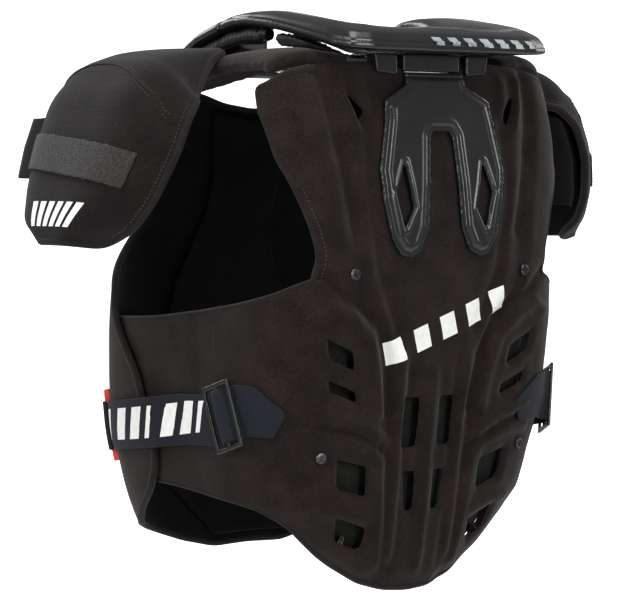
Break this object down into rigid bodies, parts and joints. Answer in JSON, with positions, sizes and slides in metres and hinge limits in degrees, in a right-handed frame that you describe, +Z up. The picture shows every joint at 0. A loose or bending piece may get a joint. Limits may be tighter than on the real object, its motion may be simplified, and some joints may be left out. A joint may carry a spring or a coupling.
{
  "type": "roost deflector with neck brace",
  "caption": "Sleeveless chest and back protector with pierced moulded back panel, side wings, strapped sides, shoulder caps and a rigid neck brace on a strut.",
  "frame": {"origin": "middle of the neck opening at the height where the vest rests on the wearer's shoulders", "axes": "+Z up along the wearer's neck, +X to the wearer's left, -Y to the wearer's front"},
  "size_m": [0.542, 0.3163, 0.4601],
  "materials": {
    "shell_cloth": "brushed brown-black stretch cloth over moulded foam",
    "lining_cloth": "matt black lining",
    "net": "black open mesh",
    "cap_cloth": "perforated neoprene",
    "hook_tape": "fuzzy charcoal loop pile",
    "webbing": "woven elastic with a pale printed pattern",
    "black_plastic": "satin black moulding",
    "red_plastic": "satin red moulding",
    "boot_rubber": "matt black",
    "dark_steel": "dark blued steel"
  },
  "bodies": {
    "root": {"back_shell": "shell_cloth", "back_mesh": "net", "front_shell": "shell_cloth", "front_liner": "lining_cloth", "yoke_left": "shell_cloth", "yoke_right": "shell_cloth", "cap_left": "cap_cloth", "cap_right": "cap_cloth", "cup_left": "lining_cloth", "cup_right": "lining_cloth", "cap_tape_left": "hook_tape", "cap_tape_right": "hook_tape", "arm_loop_left": "webbing", "arm_loop_right": "webbing", "side_strap_left": "webbing", "side_strap_right": "webbing", "slider_left": "black_plastic", "slider_right": "black_plastic", "clip_left": "red_plastic", "clip_right": "red_plastic", "screw_upper_left": "dark_steel", "screw_upper_right": "dark_steel", "screw_lower_left": "dark_steel", "screw_lower_right": "dark_steel", "brace_table": "black_plastic", "brace_front": "black_plastic", "table_pad": "boot_rubber", "front_pad": "boot_rubber", "arm_collar_left": "black_plastic", "arm_collar_right": "black_plastic", "arm_boot_left": "boot_rubber", "arm_boot_right": "boot_rubber", "thoracic_plate": "black_plastic", "strut_neck": "black_plastic", "table_lug_left": "black_plastic", "table_lug_right": "black_plastic"}
  },
  "joints": []
}
